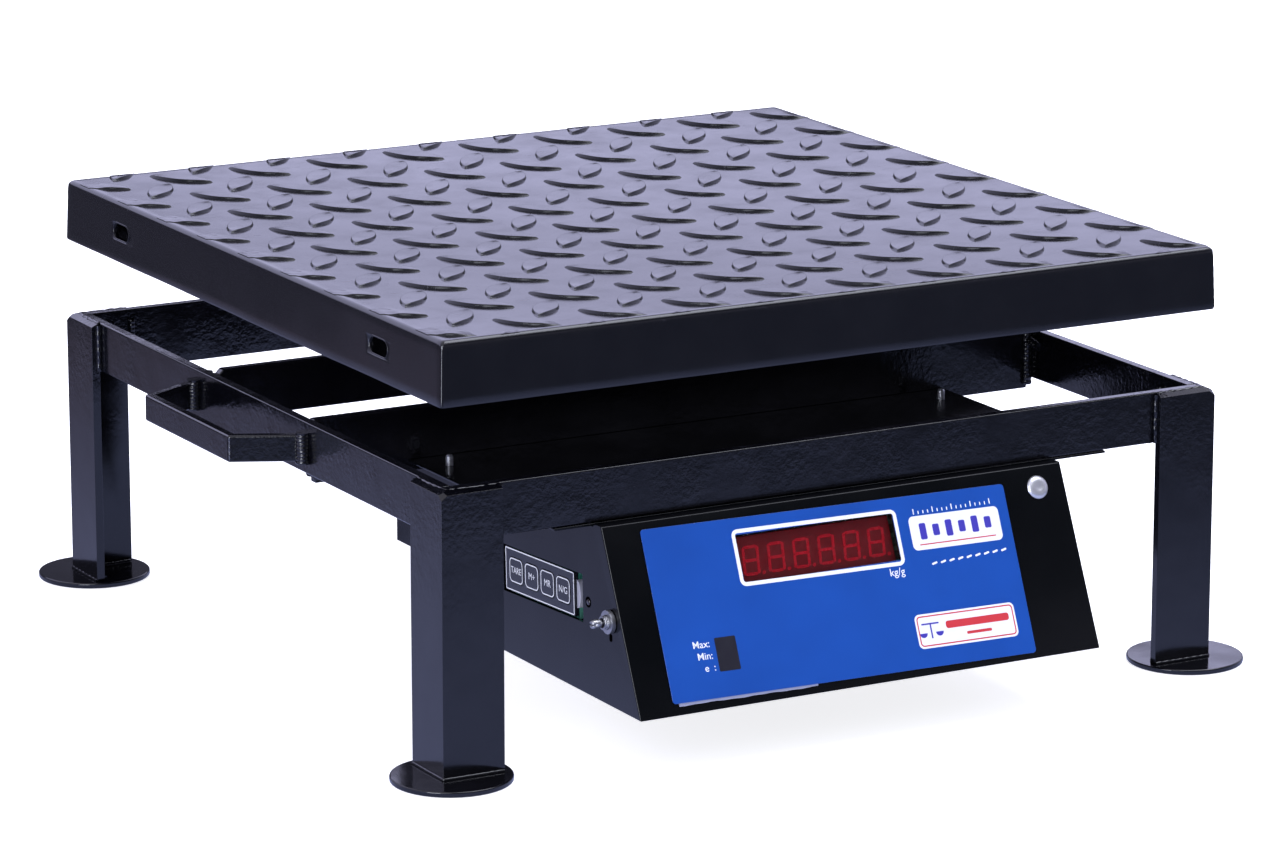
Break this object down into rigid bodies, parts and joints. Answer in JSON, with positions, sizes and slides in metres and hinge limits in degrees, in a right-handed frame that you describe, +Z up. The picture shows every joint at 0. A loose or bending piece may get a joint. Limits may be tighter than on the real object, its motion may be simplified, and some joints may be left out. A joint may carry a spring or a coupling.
{
  "type": "pallet scale",
  "caption": "Bench platform scale: square tread-plate pan on a welded angle-iron stand, with a sloped digital indicator hung under its front.",
  "frame": {"origin": "middle of the scale's box on the floor, under the foot discs", "axes": "+Z up; -Y is the front, where the display is; +X to the right as the user faces the display; the carry handle is on -X"},
  "size_m": [0.4462, 0.458, 0.1972],
  "materials": {
    "black_enamel": "gloss black enamel",
    "machined_aluminium": "machined, satin",
    "zinc_plated_steel": "bright zinc plate",
    "black_rubber": "moulded, matte",
    "dark_plastic": "moulded, fine texture",
    "blue_overlay_film": "printed polycarbonate film, velvet",
    "clear_window": "clear polycarbonate",
    "red_digits": "red tinted epoxy face",
    "green_board": "solder-masked glass-epoxy board"
  },
  "bodies": {
    "stand": {"leg_front_left": "black_enamel", "leg_front_right": "black_enamel", "leg_rear_left": "black_enamel", "leg_rear_right": "black_enamel", "foot_disc_front_left": "black_enamel", "foot_disc_front_right": "black_enamel", "foot_disc_rear_left": "black_enamel", "foot_disc_rear_right": "black_enamel", "rail_left": "black_enamel", "rail_right": "black_enamel", "rail_front": "black_enamel", "rail_rear": "black_enamel", "cross_member_front": "black_enamel", "cross_member_rear": "black_enamel", "carry_handle": "black_enamel", "load_cell_base_plate": "black_enamel", "indicator_cover": "black_enamel", "indicator_tray": "black_enamel", "indicator_top_plate": "black_enamel", "keypad_plate": "black_enamel", "load_cell": "machined_aluminium", "load_cell_lower_spacer": "machined_aluminium", "lower_cell_bolt_1": "zinc_plated_steel", "lower_cell_bolt_2": "zinc_plated_steel", "overload_stop": "zinc_plated_steel", "top_plate_screw_left": "zinc_plated_steel", "top_plate_screw_right": "zinc_plated_steel", "seal_stud": "zinc_plated_steel", "power_switch_body": "zinc_plated_steel", "power_switch_nut": "zinc_plated_steel", "lead_grommet": "black_rubber", "charging_inlet": "dark_plastic", "battery": "dark_plastic", "display_overlay": "blue_overlay_film", "display_window": "clear_window", "display_digits": "red_digits", "charge_lamp": "red_digits", "display_board": "green_board", "keypad_board": "green_board", "main_board": "green_board"},
    "load_carrier": {"load_cell_upper_spacer": "machined_aluminium", "upper_cell_bolt_1": "zinc_plated_steel", "upper_cell_bolt_2": "zinc_plated_steel", "spider_plate": "black_enamel", "spider_cross_bar_front": "black_enamel", "spider_cross_bar_rear": "black_enamel", "spider_side_bar_left": "black_enamel", "spider_side_bar_right": "black_enamel", "rubber_pad_front_left": "black_rubber", "rubber_pad_front_right": "black_rubber", "rubber_pad_rear_left": "black_rubber", "rubber_pad_rear_right": "black_rubber"},
    "pan": {"platform_pan": "black_enamel", "pan_stiffener_left": "black_enamel", "pan_stiffener_right": "black_enamel"},
    "key_tare_cap": {"key_tare": "dark_plastic"},
    "key_zero_cap": {"key_zero": "dark_plastic"},
    "key_unit_cap": {"key_unit": "dark_plastic"},
    "key_total_cap": {"key_total": "dark_plastic"},
    "switch_lever": {"power_switch_lever": "zinc_plated_steel"}
  },
  "joints": [
    {"name": "weighing_deflection", "type": "slide", "parent": "stand", "child": "load_carrier", "axis": [0, 0, -1], "range_m": [0, 0.0008], "stiffness_N_per_m": 400000, "springref_m": -0.0001, "deforming": ["load_cell"]},
    {"name": "pan_lift_off", "type": "slide", "parent": "load_carrier", "child": "pan", "axis": [0, 0, 1], "range_m": [0, 0.2]},
    {"name": "key_tare_press", "type": "slide", "parent": "stand", "child": "key_tare_cap", "axis": [1, 0, 0], "range_m": [0, 0.0005], "stiffness_N_per_m": 1500},
    {"name": "key_zero_press", "type": "slide", "parent": "stand", "child": "key_zero_cap", "axis": [1, 0, 0], "range_m": [0, 0.0005], "stiffness_N_per_m": 1500},
    {"name": "key_unit_press", "type": "slide", "parent": "stand", "child": "key_unit_cap", "axis": [1, 0, 0], "range_m": [0, 0.0005], "stiffness_N_per_m": 1500},
    {"name": "key_total_press", "type": "slide", "parent": "stand", "child": "key_total_cap", "axis": [1, 0, 0], "range_m": [0, 0.0005], "stiffness_N_per_m": 1500},
    {"name": "power_switch_throw", "type": "hinge", "parent": "stand", "child": "switch_lever", "pos_m": [-0.12193, -0.20222, 0.0668], "axis": [0, 1, 0], "range_deg": [-13, 13]}
  ]
}
